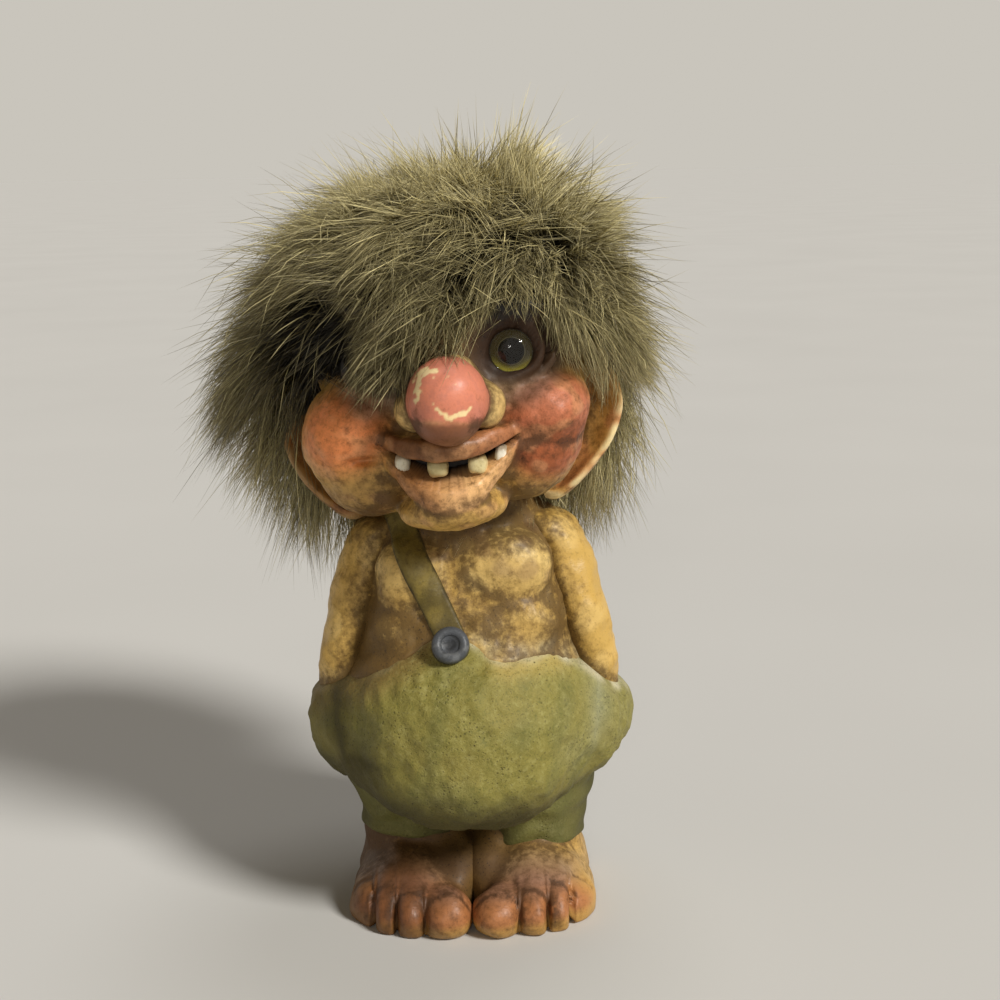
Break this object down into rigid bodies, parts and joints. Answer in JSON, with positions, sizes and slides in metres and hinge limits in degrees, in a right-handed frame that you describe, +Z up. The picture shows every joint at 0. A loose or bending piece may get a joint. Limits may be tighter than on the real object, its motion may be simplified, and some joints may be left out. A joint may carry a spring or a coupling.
{
  "type": "troll figure",
  "caption": "Standing folk troll ornament with a bulb nose, glass eyes, a shaggy fur wig, hands in the pockets of green trousers and bare feet.",
  "frame": {"origin": "on the floor, midway between the soles", "axes": "+Z up, the figure faces -Y and its own left side is +X"},
  "size_m": [0.094, 0.0985, 0.1645],
  "materials": {
    "skin": "satin",
    "nose_paint": "satin",
    "tooth_paint": "satin",
    "trouser_paint": "matte",
    "strap_paint": "matte",
    "button_paint": "satin",
    "eye_glass": "polished",
    "eye_iris": "gloss",
    "eye_pupil": "gloss",
    "wire": "satin",
    "cork": "matte",
    "wig_backing": "matte",
    "fur": "matte"
  },
  "bodies": {
    "root": {"back_fur": "fur", "button": "button_paint", "crown_fur": "fur", "crown_plug": "cork", "fringe_fur": "fur", "head": "skin", "left_arm": "skin", "left_ear": "skin", "left_eye_glass": "eye_glass", "left_eye_iris": "eye_iris", "left_eye_pin": "wire", "left_eye_pupil": "eye_pupil", "left_foot": "skin", "left_fur": "fur", "nose": "nose_paint", "right_arm": "skin", "right_ear": "skin", "right_eye_glass": "eye_glass", "right_eye_iris": "eye_iris", "right_eye_pin": "wire", "right_eye_pupil": "eye_pupil", "right_foot": "skin", "right_fur": "fur", "strap": "strap_paint", "teeth": "tooth_paint", "torso": "skin", "trousers": "trouser_paint", "wig_cap": "wig_backing"}
  },
  "joints": []
}
